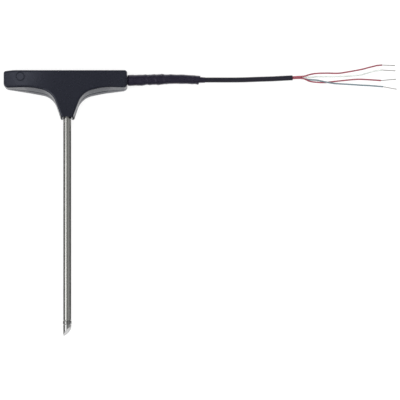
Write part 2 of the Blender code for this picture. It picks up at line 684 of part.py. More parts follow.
def smooth_route(points, spacing):
    """Even points on a Catmull-Rom curve through a route's own points."""
    padded = [2 * points[0] - points[1], *points, 2 * points[-1] - points[-2]]
    fine = [points[0]]
    for a, b, c, d in zip(padded, padded[1:], padded[2:], padded[3:]):
        for step in range(1, 21):
            t = step / 20
            fine.append(((2 * b) + (c - a) * t + (2 * a - 5 * b + 4 * c - d) * t ** 2
                         + (3 * b - a - 3 * c + d) * t ** 3) / 2)
    length = sum((high - low).length for low, high in zip(fine, fine[1:]))
    pieces = max(round(length / spacing), 1)
    route = [points[0]]
    travelled = 0.0
    for low, high in zip(fine, fine[1:]):
        step = (high - low).length
        while len(route) < pieces and travelled + step >= len(route) * length / pieces:
            share = (len(route) * length / pieces - travelled) / step
            route.append(low.lerp(high, share))
        travelled += step
    route.append(points[-1])
    return route


def wire(name, route, diameter, material, spacing=2.5):
    """A plain round wire along a route, as a curve with filled ends.

    spacing is the distance between its rings, in diameters.
    """
    curve = bpy.data.curves.new(name, "CURVE")
    curve.dimensions = "3D"
    curve.bevel_depth = diameter / 2
    curve.bevel_resolution = 2
    curve.use_fill_caps = True
    points = smooth_route(route, spacing * diameter)
    spline = curve.splines.new("POLY")
    spline.points.add(len(points) - 1)
    for point, target in zip(spline.points, points):
        point.co = (*target, 1.0)
    return add_object(name, curve, material)


def build_leads(start_v, lead_material):
    """The sensor's four leads, up the tube and across to the splices."""
    for number, (u, z) in enumerate(lead_offsets(), start=1):
        side = 1 if z > 0 else -1
        splice_z = JOINT_Z + side * SPLICE_SPREAD
        high = u < 0
        splice_v = SPLICE_HIGH if high else SPLICE_LOW
        turn = 2.0 * MM if high else 0.0
        stop = SPLICE_START + SPLICE_LENGTH / 2 - FIT / 2
        route = [
            place(u, start_v, JOINT_Z + z),
            place(u, -PROBE_LENGTH / 2, JOINT_Z + z),
            place(u, 0.0, JOINT_Z + z),
            place(u, TUBE_INSIDE - 1.0 * MM, JOINT_Z + z),
            place(u + 1.2 * MM, 20.6 * MM + turn / 2, JOINT_Z + 1.1 * z),
            place(5.0 * MM, 22.0 * MM + 0.75 * turn, splice_z),
            place(11.0 * MM, 22.5 * MM + 0.65 * turn, splice_z),
            place(SPLICE_START - 1.0 * MM, splice_v, splice_z),
            place(stop, splice_v, splice_z),
        ]
        lead = wire(f"sensor_lead_{number}", route, 2 * LEAD_RADIUS, lead_material)
        lead.data.bevel_resolution = 1


def build_splices(sleeve_material, core_materials):
    """Crimp splices in the right arm, and the cable's cores from them to the jacket."""
    for name, (v, side) in SPLICE_OF_CORE.items():
        z = JOINT_Z + side * SPLICE_SPREAD
        turned(f"splice_sleeve_{name}", place(SPLICE_START, v, z), (1, 0, 0),
               ring_section(SPLICE_BORE, SPLICE_RADIUS, SPLICE_LENGTH, SPLICE_CHAMFER),
               SMALL_ROUND, sleeve_material, bored=True)
        spread = CORE_SPREAD if v == SPLICE_HIGH else -CORE_SPREAD
        jacket_v = CABLE_HEIGHT + spread
        route = [
            place(SPLICE_START + SPLICE_LENGTH / 2 + FIT / 2, v, z),
            place(SPLICE_START + SPLICE_LENGTH + FIT, v, z),
            place(CABLE_START - 0.8 * MM, jacket_v, JOINT_Z + side * CORE_SPREAD),
            place(CABLE_START - FIT, jacket_v, JOINT_Z + side * CORE_SPREAD),
        ]
        wire(f"handle_core_{name}", route, CORE_DIAMETER, core_materials[name], spacing=0.9)


def swept_sleeve(name, start_u, outer, inner, stations, material):
    """A hollow sleeve round the cable's route.

    outer and inner give the radius for a station, a distance from the sleeve's start.
    """
    route = smooth_route([place_mm(point) for point in CABLE_ROUTE], 0.5 * MM)
    across = Vector((0, 1, 0))
    outer_rings = []
    inner_rings = []
    for station in stations:
        x = TUBE_X + start_u + station
        low, high = next((low, high) for low, high in zip(route, route[1:]) if high.x > x)
        along = (high - low).normalized()
        middle = low + along * (x - low.x) / along.x
        up = along.cross(across).normalized()
        outer_rings.append(circle(middle, across, up, outer(station), SMALL_ROUND))
        inner_rings.append(circle(middle, across, up, inner(station), SMALL_ROUND))
    return hollow(name, outer_rings + inner_rings[::-1], material)


def build_cable_entry(boot_material, sleeve_material, clamp_material):
    """The clamp in the handle, the boot on the spigot and the sleeve that runs into it."""
    turned("cable_clamp", place(CLAMP_START, CABLE_HEIGHT, JOINT_Z), (1, 0, 0),
           ring_section(CABLE_DIAMETER / 2 + CLOSE_FIT, CLAMP_RADIUS, CLAMP_LENGTH,
                        CLAMP_CHAMFER), ROUND, clamp_material, bored=True)

    def boot_outer(station):
        if station <= BOOT_COLLAR_LENGTH:
            return BOOT_COLLAR_RADIUS
        share = (station - BOOT_COLLAR_LENGTH) / (BOOT_LENGTH - BOOT_COLLAR_LENGTH)
        return BOOT_BODY_RADIUS + (BOOT_END_RADIUS - BOOT_BODY_RADIUS) * share ** 2

    def boot_inner(station):
        grips_spigot = station <= SPIGOT_LENGTH + FIT
        return SPIGOT_RADIUS + CLOSE_FIT if grips_spigot else BOOT_BORE

    body_start = BOOT_COLLAR_LENGTH + BOOT_SHOULDER
    step = (BOOT_LENGTH - body_start) / SLEEVE_STEPS
    stations = [0.0, SPIGOT_LENGTH + FIT, BOOT_COLLAR_LENGTH]
    stations += [body_start + step * i for i in range(SLEEVE_STEPS + 1)]
    swept_sleeve("cable_boot", BOOT_START, boot_outer, boot_inner, stations, boot_material)

    swept_sleeve("lead_sleeve", SLEEVE_START, lambda station: SLEEVE_RADIUS,
                 lambda station: CABLE_DIAMETER / 2 + CLOSE_FIT,
                 [SLEEVE_LENGTH * i / SLEEVE_STEPS for i in range(SLEEVE_STEPS + 1)],
                 sleeve_material)


def build_lead(jacket_material, core_materials, tinned):
    """The free cable, its four cores and their bared ends."""
    wire("cable_jacket", [place_mm(point) for point in CABLE_ROUTE], CABLE_DIAMETER,
         jacket_material, spacing=1.2)
    for name, points in CORE_ROUTES.items():
        route = [place_mm(point) for point in points]
        wire(f"core_{name}", route, CORE_DIAMETER, core_materials[name])
        end = place_mm(STRAND_ENDS[name])
        start = route[-1] + (end - route[-1]).normalized() * FIT / 2
        wire(f"strands_{name}", [start, end], STRAND_DIAMETER, tinned)


def main():
    for thing in list(bpy.data.objects):
        bpy.data.objects.remove(thing)

    plastic = finish("handle_plastic", (0.025, 0.027, 0.042), 0.45)
    steel = finish("stainless_steel", (0.62, 0.62, 0.63), 0.22, 1.0)
    dark_steel = finish("dark_ring", (0.22, 0.22, 0.23), 0.35, 1.0)
    screw_steel = finish("screw_steel", (0.55, 0.55, 0.56), 0.3, 1.0)
    silicone = finish("silicone_seal", (0.02, 0.02, 0.022), 0.6)
    ceramic = finish("ceramic", (0.83, 0.81, 0.76), 0.5)
    potting = finish("potting", (0.35, 0.34, 0.33), 0.7)
    lead_insulation = finish("lead_insulation", (0.75, 0.72, 0.62), 0.4)
    splice = finish("splice_sleeve", (0.1, 0.12, 0.35), 0.5)
    boot = finish("heat_shrink", (0.03, 0.026, 0.042), 0.5)
    jacket = finish("cable_jacket", (0.035, 0.033, 0.045), 0.5)
    brass = finish("clamp_brass", (0.78, 0.6, 0.3), 0.35, 1.0)
    tinned = finish("tinned_copper", (0.7, 0.69, 0.66), 0.35, 1.0)
    red = finish("core_red", (0.45, 0.06, 0.09), 0.35)
    cores = {
        "red_1": red,
        "white": finish("core_white", (0.85, 0.86, 0.84), 0.35),
        "red_2": red,
        "blue": finish("core_blue", (0.42, 0.55, 0.62), 0.35),
    }

    build_shell("front_shell", 1, plastic)
    build_shell("rear_shell", -1, plastic)
    build_seal_strips(silicone)
    build_screws(screw_steel)
    build_probe(steel, dark_steel, silicone)
    leads_start = build_sensor(ceramic, potting)
    build_leads(leads_start, lead_insulation)
    build_splices(splice, cores)
    build_cable_entry(boot, jacket, brass)
    build_lead(jacket, cores, tinned)


main()
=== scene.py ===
"""Looks of a T-handle insertion probe with a four-core lead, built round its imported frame.

Metres, +Z up. The probe lies on its rear face and the camera looks straight down on it.
As in the part itself, the handle's plane is written in u, from the tube's axis towards the
cable, and v, upwards from the end of the neck; place(u, v, z) turns them into the frame.
"""

from math import cos, exp, pi, radians, sin, tan

import bmesh
import bpy
from mathutils import Matrix, Vector


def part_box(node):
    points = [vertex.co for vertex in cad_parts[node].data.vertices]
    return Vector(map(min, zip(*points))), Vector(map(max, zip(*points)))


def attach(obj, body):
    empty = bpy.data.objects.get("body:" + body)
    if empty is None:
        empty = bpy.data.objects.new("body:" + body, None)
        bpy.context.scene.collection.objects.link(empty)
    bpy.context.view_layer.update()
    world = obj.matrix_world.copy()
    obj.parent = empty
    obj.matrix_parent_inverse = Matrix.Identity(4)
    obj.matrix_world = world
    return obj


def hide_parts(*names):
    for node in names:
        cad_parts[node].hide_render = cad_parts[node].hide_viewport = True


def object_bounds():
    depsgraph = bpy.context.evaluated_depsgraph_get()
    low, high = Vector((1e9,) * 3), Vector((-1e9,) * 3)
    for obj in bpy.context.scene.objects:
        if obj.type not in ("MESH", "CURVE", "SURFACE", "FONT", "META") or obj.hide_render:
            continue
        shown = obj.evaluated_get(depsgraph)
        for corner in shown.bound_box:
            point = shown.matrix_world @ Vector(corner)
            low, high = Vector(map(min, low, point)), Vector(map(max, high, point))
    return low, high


MM = 0.001
ROOT = "root"

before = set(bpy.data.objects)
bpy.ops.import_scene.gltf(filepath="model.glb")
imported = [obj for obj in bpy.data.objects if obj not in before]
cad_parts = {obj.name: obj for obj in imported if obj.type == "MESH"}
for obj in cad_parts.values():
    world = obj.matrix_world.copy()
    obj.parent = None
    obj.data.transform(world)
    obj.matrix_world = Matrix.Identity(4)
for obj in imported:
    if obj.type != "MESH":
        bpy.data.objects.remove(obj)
cad_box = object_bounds()

# Places that the frame gives, in metres, or in millimetres where the name says so
TUBE_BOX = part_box("probe_tube")
REAR_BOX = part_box("rear_shell")
FRONT_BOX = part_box("front_shell")
TIP_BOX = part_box("probe_tip")
RING_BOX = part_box("tip_ring")
TUBE_X = (TUBE_BOX[0].x + TUBE_BOX[1].x) / 2
JOINT_Z = (TUBE_BOX[0].z + TUBE_BOX[1].z) / 2
JOINT_MM = JOINT_Z / MM
NECK_Y = REAR_BOX[0].y
DEPTH_MM = FRONT_BOX[1].z / MM

# Sizes of the handle, in millimetres, as in the part
LEFT_ARM = 40.5
RIGHT_ARM = 38.5
HANDLE_HEIGHT = 31.7
END_DROP = 0.75
DRAFT = 0.1
WIDEST_Z = 4.0
FACE_FILLET = 1.3
REAR_CORNER = 0.3
REAR_ROUNDING = 2.4
LEAST_RADIUS = 0.3              # of a corner after an outline moves inwards
WALL = 2.4
JOINT_GAP = 0.3
OVERSHOOT = 1.0                 # how far a cutter starts outside what it cuts
FAR = 100.0                     # further than any part of the handle
JOINT_EDGE = 0.35               # rounding of the shells' edges along the joint
CAVITY_FLOOR = 7.6
CAVITY_FILLET = 0.8
NOTCH_HALF_WIDTH = 2.75
NOTCH_HEIGHT = 1.9
SPIGOT_LENGTH = 3.2
SPIGOT_RADIUS = 2.85
SPIGOT_ROOT = 2.0
CABLE_HEIGHT = 25.2
CABLE_BORE = 1.95
TUBE_BORE = 2.8
TUBE_INSIDE = 19.3
SEAL_POCKET = (3.05, 6.35, 3.85)            # floor, top and radius
SCREWS = ((-33.0, 26.0), (-13.0, 26.6), (9.5, 27.3))
SCREW_HOLE = 1.25
SCREW_RECESS = (2.05, 2.8)                  # radius and depth
FACE_GROOVE = (-29.7, 27.6, 2.6, 0.3, 0.3)  # u, v, middle radius, half width and depth
FILLET_STEPS = 3
EDGE_STEPS = 8                  # along the large roundings of the outer faces
GROOVE_STEPS = 10
SMOOTH_ANGLE = 35.0             # edges sharper than this, in degrees, stay sharp

# Sizes of the probe, in millimetres
TUBE_WALL = 0.3
TUBE_EDGE = 0.08
RING_BORE = 2.15
RING_CROWN = 0.2                # how far the ring's edges fall away
TIP_RADIUS = 2.5
TIP_BODY = 7.25                 # length of the part of the tip that shows
TIP_EDGE = 0.1
SPIGOT_OF_TIP = 1.85
BEVEL_ACROSS = 2.4              # drop of the bevel from the axis to the side
BEVEL_FORWARD = 1.5             # drop of the bevel from the axis to the front
PROBE_SIDES = 128
TIP_SMOOTH_ANGLE = 30.0

# Corners of the widest outline and of the sharp edge round the face: u, v, radius, steps
WIDEST_CORNERS = (
    (4.25, 0.0, 0.9, 8),
    (9.1, 13.9, 12.4, 20),
    (23.6, 16.8, 40.0, 6),
    (RIGHT_ARM, 18.7, 2.8, 10),
    (RIGHT_ARM, HANDLE_HEIGHT, 1.5, 10),
    (-34.5, HANDLE_HEIGHT, 30.0, 6),
    (-LEFT_ARM, HANDLE_HEIGHT - END_DROP, 1.5, 10),
    (-LEFT_ARM, 19.65, 3.5, 12),
    (-23.6, 17.0, 40.0, 6),
    (-9.0, 14.3, 11.5, 20),
    (-4.1, 0.0, 0.9, 8),
)
FACE_CORNERS = (
    (3.65, 1.5, 0.8, 8),
    (9.95, 17.8, 13.0, 20),
    (23.6, 21.3, 40.0, 6),
    (RIGHT_ARM - DRAFT, 20.65, 1.5, 10),
    (RIGHT_ARM - DRAFT, HANDLE_HEIGHT - DRAFT, 1.5, 10),
    (-34.5, HANDLE_HEIGHT - DRAFT, 30.0, 6),
    (-LEFT_ARM + DRAFT, HANDLE_HEIGHT - DRAFT - END_DROP, 1.5, 10),
    (-LEFT_ARM + DRAFT, 20.3, 2.6, 12),
    (-23.6, 21.1, 40.0, 6),
    (-9.9, 18.4, 12.4, 20),
    (-3.45, 1.5, 0.8, 8),
)

# The lead's routes, as in the part: u, v, z in millimetres
CABLE_ROUTE = (
    (27.0, 25.2, 7.5), (38.5, 25.2, 7.5), (51.5, 25.7, 6.9), (66.5, 26.15, 5.3),
    (74.5, 26.1, 4.3), (84.8, 25.75, 2.9), (95.1, 25.75, 1.95), (105.0, 25.75, 1.65),
    (113.0, 25.85, 1.65), (121.3, 26.15, 1.65), (131.6, 26.5, 1.65), (139.3, 26.9, 1.65),
    (144.6, 27.15, 1.65),
)
CORE_ROUTES = {
    "red_1": (
        (144.9, 27.7, 2.15), (148.0, 27.9, 2.15), (151.3, 28.1, 2.05), (153.4, 28.5, 1.7),
        (155.4, 29.2, 1.1), (159.8, 30.0, 0.5), (166.8, 30.2, 0.5), (173.9, 30.1, 0.5),
        (180.3, 31.0, 0.5), (185.4, 31.9, 0.5), (189.4, 32.7, 0.5), (193.2, 33.7, 0.5),
        (196.4, 34.5, 0.5), (199.0, 35.1, 0.5), (202.2, 35.4, 0.5),
    ),
    "white": (
        (144.9, 27.7, 1.1), (148.0, 27.85, 1.1), (151.3, 27.85, 1.0), (154.2, 27.5, 0.6),
        (157.2, 27.5, 0.5), (162.3, 28.0, 0.5), (170.3, 28.0, 0.5), (178.4, 28.1, 0.5),
        (182.9, 28.5, 0.5), (188.1, 29.0, 0.5), (192.6, 30.2, 0.5), (196.4, 31.3, 0.5),
        (199.6, 31.9, 0.5), (202.2, 32.2, 0.5),
    ),
    "red_2": (
        (144.9, 26.7, 2.1), (148.0, 26.85, 2.1), (151.0, 26.85, 2.05), (153.2, 26.0, 1.6),
        (155.3, 25.05, 1.0), (157.4, 24.6, 0.55), (160.0, 24.35, 0.5), (163.2, 24.1, 0.5),
        (166.2, 24.2, 0.5), (169.4, 24.6, 0.5), (172.6, 24.95, 0.5), (176.4, 25.35, 0.5),
        (180.3, 25.75, 0.5), (183.5, 26.05, 0.5), (187.4, 26.25, 0.5), (192.6, 26.05, 0.5),
        (197.1, 25.75, 0.5), (201.5, 25.45, 0.5),
    ),
    "blue": (
        (144.9, 26.7, 1.05), (148.0, 26.85, 1.05), (151.0, 26.75, 1.0), (153.2, 26.35, 0.6),
        (155.3, 26.0, 0.5), (157.4, 25.85, 0.5), (159.6, 25.75, 0.5), (161.6, 25.45, 0.65),
        (163.4, 25.0, 1.15), (165.0, 24.65, 1.5), (167.2, 24.2, 1.55), (169.6, 23.8, 1.4),
        (171.4, 23.55, 0.85), (173.2, 23.4, 0.55), (176.8, 23.2, 0.5), (182.9, 22.85, 0.5),
        (188.7, 22.45, 0.5), (193.2, 22.25, 0.5), (199.6, 21.75, 0.5), (202.8, 21.5, 0.5),
    ),
}
STRAND_ENDS = {
    "red_1": (210.5, 35.1, 0.35),
    "white": (210.8, 31.7, 0.35),
    "red_2": (211.2, 26.3, 0.35),
    "blue": (211.6, 19.85, 0.35),
}
CABLE_DIAMETER = 3.2
CORE_DIAMETER = 0.95
STRAND_DIAMETER = 0.55

# The cable's sleeving, in millimetres: places along u, and distances from its start
BOOT_START = 38.8
BOOT_LENGTH = 45.8
COLLAR_RADIUS = 3.6
MOUTH_ROUNDING = 0.3            # radius lost at the collar's mouth
MOUTH_LENGTH = 0.9
COLLAR_BORE = 3.0
COLLAR_DEPTH = 3.5
BOOT_BORE = 2.15
BOOT_NARROWINGS = (             # radius lost, between two distances
    (0.2, 3.0, 5.5),
    (0.2, 9.5, 13.0),
    (0.2, 21.5, 26.5),
    (0.12, 33.0, 41.0),
    (0.2, 41.0, 45.0),
)
LAY_PITCH = 5.4                 # of the cores twisted under the boot
LAY_PHASE = 0.63                # of their twist, in radians
END_SLANT = 0.55                # how far the boot's far end slants to each side
SLEEVE_START = 60.0
SLEEVE_LENGTH = 28.3
SLEEVE_RADIUS = 1.93
SLEEVE_CLEARANCE = 0.08
SLEEVING_SPACING = 0.25         # between rings of points


def place(u, v, z):
    """A point of the handle's plane, in millimetres, in the frame."""
    return Vector((TUBE_X + u * MM, NECK_Y + v * MM, z * MM))


# ---------------------------------------------------------------- materials

ALONG_Y = (1.0, 0.02, 1.0)      # stretches a pattern along the tube
ALONG_X = (0.05, 1.0, 1.0)      # stretches a pattern along the lead
WEAR_FINENESS = 6               # wear cells to each cell of the colour's drift


def add_node(material, kind, **inputs):
    node = material.node_tree.nodes.new(kind)
    for name, value in inputs.items():
        node.inputs[name.replace("_", " ")].default_value = value
    return node


def connect(material, source, target):
    material.node_tree.links.new(source, target)


def mapped_noise(material, scale, detail=2.0, stretch=(1.0, 1.0, 1.0), roughness=0.5):
    """Noise in the object's own metres: scale in cells per metre, stretched by axis."""
    place_node = add_node(material, "ShaderNodeTexCoord")
    mapping = add_node(material, "ShaderNodeMapping", Scale=stretch)
    noise = add_node(material, "ShaderNodeTexNoise", Scale=scale, Detail=detail,
                     Roughness=roughness)
    connect(material, place_node.outputs["Object"], mapping.inputs["Vector"])
    connect(material, mapping.outputs["Vector"], noise.inputs["Vector"])
    return noise.outputs["Fac"]


def ramp(material, value, low, high, start=0.3, end=0.7):
    """Colours or greys that follow a value between two stops."""
    node = add_node(material, "ShaderNodeValToRGB")
    connect(material, value, node.inputs["Fac"])
    for element, position, colour in zip(node.color_ramp.elements, (start, end), (low, high)):
        element.position = position
        element.color = (*colour, 1.0) if isinstance(colour, tuple) else (colour,) * 3 + (1.0,)
    return node.outputs["Color"]


def surface(name, colours, roughness, metallic=0.0, colour_scale=60.0, grain_scale=2500.0,
            grain_depth=0.01, stretch=(1.0, 1.0, 1.0), **sockets):
    """A finish with drifting colour, uneven roughness and a fine grain.

    colours and roughness are pairs, low and high. The scales are in cells per metre, and
    grain_depth is in millimetres. What sockets name is the same all over the surface.
    """
    material = bpy.data.materials.new(name)
    material.use_nodes = True
    shader = material.node_tree.nodes["Principled BSDF"]
    shader.inputs["Metallic"].default_value = metallic
    for socket, value in sockets.items():
        shader.inputs[socket.replace("_", " ")].default_value = value
    drift = mapped_noise(material, colour_scale, 4.0, stretch)
    connect(material, ramp(material, drift, *colours), shader.inputs["Base Color"])
    grain = mapped_noise(material, grain_scale, 3.0, stretch, 0.6)
    wear = mapped_noise(material, WEAR_FINENESS * colour_scale, 3.0, stretch)
    connect(material, ramp(material, wear, *roughness), shader.inputs["Roughness"])
    bump = add_node(material, "ShaderNodeBump", Strength=1.0, Distance=grain_depth * MM)
    connect(material, grain, bump.inputs["Height"])
    connect(material, bump.outputs["Normal"], shader.inputs["Normal"])
    return material


def ground_steel(name, colours, roughness, grain_depth):
    """Steel ground round the probe's axis, which draws its reflections out along it."""
    material = surface(name, colours, roughness, 1.0, colour_scale=300.0, grain_scale=5000.0,
                       grain_depth=grain_depth, stretch=ALONG_Y, Anisotropic=0.8,
                       Anisotropic_Rotation=0.25)
    tangent = add_node(material, "ShaderNodeTangent")
    tangent.direction_type = "RADIAL"
    tangent.axis = "Y"
    shader = material.node_tree.nodes["Principled BSDF"]
    connect(material, tangent.outputs["Tangent"], shader.inputs["Tangent"])
    return material


def core_insulation(name, colours):
    return surface(name, colours, (0.25, 0.35), colour_scale=250.0, grain_scale=3000.0,
                   grain_depth=0.004, stretch=ALONG_X)


MATERIALS = {
    "handle_plastic": surface("handle_plastic",
                              ((0.0022, 0.0024, 0.0056), (0.0034, 0.0038, 0.0076)),
                              (0.25, 0.33), colour_scale=45.0, grain_scale=3200.0,
                              grain_depth=0.012, IOR=1.68,
                              Specular_Tint=(0.78, 0.83, 1.0, 1.0)),
    "stainless_steel": ground_steel("stainless_steel", ((0.60, 0.60, 0.58), (0.66, 0.66, 0.64)),
                                    (0.17, 0.24), 0.0006),
    "dark_ring": ground_steel("dark_ring", ((0.42, 0.42, 0.42), (0.5, 0.5, 0.5)),
                              (0.1, 0.15), 0.001),
    "tip_steel": ground_steel("tip_steel", ((0.6, 0.6, 0.6), (0.66, 0.66, 0.66)),
                              (0.15, 0.21), 0.0008),
    "screw_steel": surface("screw_steel", ((0.5, 0.5, 0.5), (0.6, 0.6, 0.61)), (0.25, 0.4),
                           1.0, colour_scale=300.0, grain_scale=4000.0, grain_depth=0.003),
    "heat_shrink": surface("heat_shrink", ((0.0046, 0.0038, 0.0096), (0.0064, 0.0054, 0.013)),
                           (0.24, 0.34), colour_scale=200.0, grain_scale=1500.0,
                           grain_depth=0.008, stretch=ALONG_X, IOR=1.65,
                           Specular_Tint=(0.86, 0.8, 1.0, 1.0)),
    "cable_jacket": surface("cable_jacket", ((0.0055, 0.0052, 0.0095), (0.0078, 0.0074, 0.0125)),
                            (0.42, 0.52), colour_scale=150.0, grain_scale=1800.0,
                            grain_depth=0.01, stretch=ALONG_X,
                            Specular_Tint=(0.9, 0.86, 1.0, 1.0)),
    "core_red": core_insulation("core_red", ((0.22, 0.042, 0.062), (0.27, 0.053, 0.077))),
    "core_white": core_insulation("core_white", ((0.49, 0.525, 0.5), (0.53, 0.565, 0.54))),
    "core_blue": core_insulation("core_blue", ((0.1, 0.14, 0.165), (0.125, 0.17, 0.195))),
    "tinned_copper": surface("tinned_copper", ((0.6, 0.59, 0.56), (0.75, 0.74, 0.72)),
                             (0.28, 0.42), 1.0, colour_scale=900.0, grain_scale=6000.0,
                             grain_depth=0.003),
    "silicone": surface("silicone", ((0.018, 0.018, 0.02), (0.03, 0.03, 0.033)), (0.5, 0.65),
                        colour_scale=300.0, grain_scale=2500.0, grain_depth=0.01),
    "ceramic": surface("ceramic", ((0.78, 0.76, 0.7), (0.86, 0.84, 0.79)), (0.4, 0.55),
                       colour_scale=400.0, grain_scale=4000.0, grain_depth=0.006),
    "potting": surface("potting", ((0.3, 0.29, 0.28), (0.4, 0.39, 0.37)), (0.6, 0.75),
                       colour_scale=500.0, grain_scale=3000.0, grain_depth=0.01),
    "lead_insulation": surface("lead_insulation", ((0.7, 0.66, 0.56), (0.8, 0.76, 0.67)),
                               (0.3, 0.45), colour_scale=300.0, grain_scale=4000.0,
                               grain_depth=0.004),
    "splice_sleeve": surface("splice_sleeve", ((0.07, 0.09, 0.28), (0.1, 0.13, 0.36)),
                             (0.4, 0.55), colour_scale=300.0, grain_scale=3000.0,
                             grain_depth=0.008),
    "clamp_brass": surface("clamp_brass", ((0.7, 0.52, 0.24), (0.8, 0.62, 0.32)), (0.25, 0.4),
                           1.0, colour_scale=300.0, grain_scale=4000.0, grain_depth=0.003),
}

# Materials of the CAD nodes that are shown as they are, by the start of their names
SHOWN_NODES = {
    "seal_strip": "silicone",
    "tube_seal": "silicone",
    "case_screw": "screw_steel",
    "tube_anchor": "stainless_steel",
    "sensing_element": "ceramic",
    "tip_potting": "potting",
    "lead_insulator": "ceramic",
    "sensor_lead": "lead_insulation",
    "splice_sleeve": "splice_sleeve",
    "handle_core_red": "core_red",
    "handle_core_white": "core_white",
    "handle_core_blue": "core_blue",
    "cable_clamp": "clamp_brass",
}


# ---------------------------------------------------------------- mesh helpers

def smooth_up_to(mesh, angle):
    """Shade a mesh smooth, apart from its edges sharper than an angle in degrees."""
    mesh.shade_smooth()
    mesh.set_sharp_from_angle(angle=radians(angle))


def mesh_object(name, points, faces, smooth_angle=SMOOTH_ANGLE):
    """A mesh object with its faces turned outwards and smooth up to an angle."""
    mesh = bpy.data.meshes.new(name)
    mesh.from_pydata([tuple(point) for point in points], [], faces)
    shape = bmesh.new()
    shape.from_mesh(mesh)
    bmesh.ops.recalc_face_normals(shape, faces=shape.faces)
    shape.to_mesh(mesh)
    shape.free()
    smooth_up_to(mesh, smooth_angle)
    thing = bpy.data.objects.new(name, mesh)
    bpy.context.scene.collection.objects.link(thing)
    return thing


def ring_faces(levels, count, closed):
    """Faces between rings of points, and from the last ring to the first if closed."""
    faces = []
    for level in range(levels if closed else levels - 1):
        low, high = level * count, (level + 1) % levels * count
        for i in range(count):
            j = (i + 1) % count
            faces.append((low + i, low + j, high + j, high + i))
    return faces


def loft(name, rings):
    """A closed solid through rings of equal count, capped at both ends."""
    count = len(rings[0])
    faces = ring_faces(len(rings), count, closed=False)
    last = (len(rings) - 1) * count
    faces += [tuple(range(count)), tuple(last + i for i in range(count))]
    return mesh_object(name, [point for ring in rings for point in ring], faces)


def hollow(name, rings, smooth_angle=SMOOTH_ANGLE):
    """A closed ring-shaped solid through rings that come back to the first."""
    points = [point for ring in rings for point in ring]
    return mesh_object(name, points, ring_faces(len(rings), len(rings[0]), closed=True),
                       smooth_angle)


def circle(centre, across, up, radius, sides):
    turns = (2 * pi * i / sides for i in range(sides))
    return [centre + radius * (cos(turn) * across + sin(turn) * up) for turn in turns]


def turned(name, start, direction, profile, sides=96, bored=False):
    """A turned piece. The profile is in millimetres: (distance along the axis, radius)."""
    direction = Vector(direction)
    across = direction.orthogonal().normalized()
    up = direction.cross(across)
    rings = [circle(start + along * MM * direction, across, up, radius * MM, sides)
             for along, radius in profile]
    return hollow(name, rings) if bored else loft(name, rings)


def rod(name, start, end, radius, sides=64):
    line = end - start
    return turned(name, start, line.normalized(),
                  ((0.0, radius), (line.length / MM, radius)), sides)


def block(name, corner, opposite):
    """A box between two opposite corners."""
    xs, ys, zs = zip(corner, opposite)
    low = [(xs[0], ys[0]), (xs[1], ys[0]), (xs[1], ys[1]), (xs[0], ys[1])]
    return loft(name, [[Vector((x, y, z)) for x, y in low] for z in zs])


def apply_modifiers(thing):
    """Replace a mesh by what its modifiers make of it."""
    graph = bpy.context.evaluated_depsgraph_get()
    made = bpy.data.meshes.new_from_object(thing.evaluated_get(graph))
    old = thing.data
    thing.modifiers.clear()
    thing.data = made
    made.name = thing.name
    bpy.data.meshes.remove(old)


def combine(target, tools, operation="DIFFERENCE"):
    """Cut or join closed meshes with Booleans, and remove the tools."""
    for tool in tools:
        step = target.modifiers.new(tool.name, "BOOLEAN")
        step.object = tool
        step.operation = operation
        step.solver = "EXACT"
    apply_modifiers(target)
    for tool in tools:
        mesh = tool.data
        bpy.data.objects.remove(tool)
        bpy.data.meshes.remove(mesh)


def finish_piece(thing, material, *nodes, slot=None):
    """Give a piece its material, let it ride on the root, and hide the CAD nodes it takes the
    place of.
    """
    thing.data.materials.clear()
    thing.data.materials.append(MATERIALS[material])
    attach(thing, ROOT)
    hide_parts(*nodes)


# ---------------------------------------------------------------- outlines

def rounded_outline(corners):
    """A closed outline through corners (u, v, radius, steps), each turned by an arc."""
    outline = []
    for index, (u, v, radius, steps) in enumerate(corners):
        here = Vector((u, v))
        before = (Vector(corners[index - 1][:2]) - here).normalized()
        after = (Vector(corners[(index + 1) % len(corners)][:2]) - here).normalized()
        half_angle = before.angle(after) / 2
        reach = radius / tan(half_angle)
        middle = here + (before + after).normalized() * radius / sin(half_angle)
        start = here + before * reach - middle
        sweep = start.angle_signed(here + after * reach - middle)
        for step in range(steps + 1):
            outline.append(middle + Matrix.Rotation(-sweep * step / steps, 2) @ start)
    return outline


def inset(corners, distance):
    """The corners of an outline moved inwards, for corners listed anticlockwise."""
    moved = []
    for index, (u, v, radius, steps) in enumerate(corners):
        here = Vector((u, v))
        arriving = (here - Vector(corners[index - 1][:2])).normalized()
        leaving = (Vector(corners[(index + 1) % len(corners)][:2]) - here).normalized()
        inwards = Vector((-arriving.y, arriving.x)) + Vector((-leaving.y, leaving.x))
        corner = here + inwards * distance / (1 + arriving.dot(leaving))
        convex = arriving.cross(leaving) > 0
        new_radius = max(radius - distance, LEAST_RADIUS) if convex else radius + distance
        moved.append((corner.x, corner.y, new_radius, steps))
    return moved


def leaning(z):
    """The corners of the flanks' outline at height z."""
    share = (z - WIDEST_Z) / (DEPTH_MM - WIDEST_Z)
    corners = []
    for wide, face in zip(WIDEST_CORNERS, FACE_CORNERS):
        u, v, radius = (a + share * (b - a) for a, b in zip(wide[:3], face[:3]))
        corners.append((u, v, radius, wide[3]))
    return corners


def raised(corners, floor):
    """The same outline with the foot of the neck moved up its flanks to a new height."""
    def move(foot, shoulder):
        share = (floor - foot[1]) / (shoulder[1] - foot[1])
        return (foot[0] + share * (shoulder[0] - foot[0]), floor, *foot[2:])

    return [move(corners[0], corners[1]), *corners[1:-1], move(corners[-1], corners[-2])]


def outline_ring(corners, z):
    return [place(u, v, z) for u, v in rounded_outline(corners)]


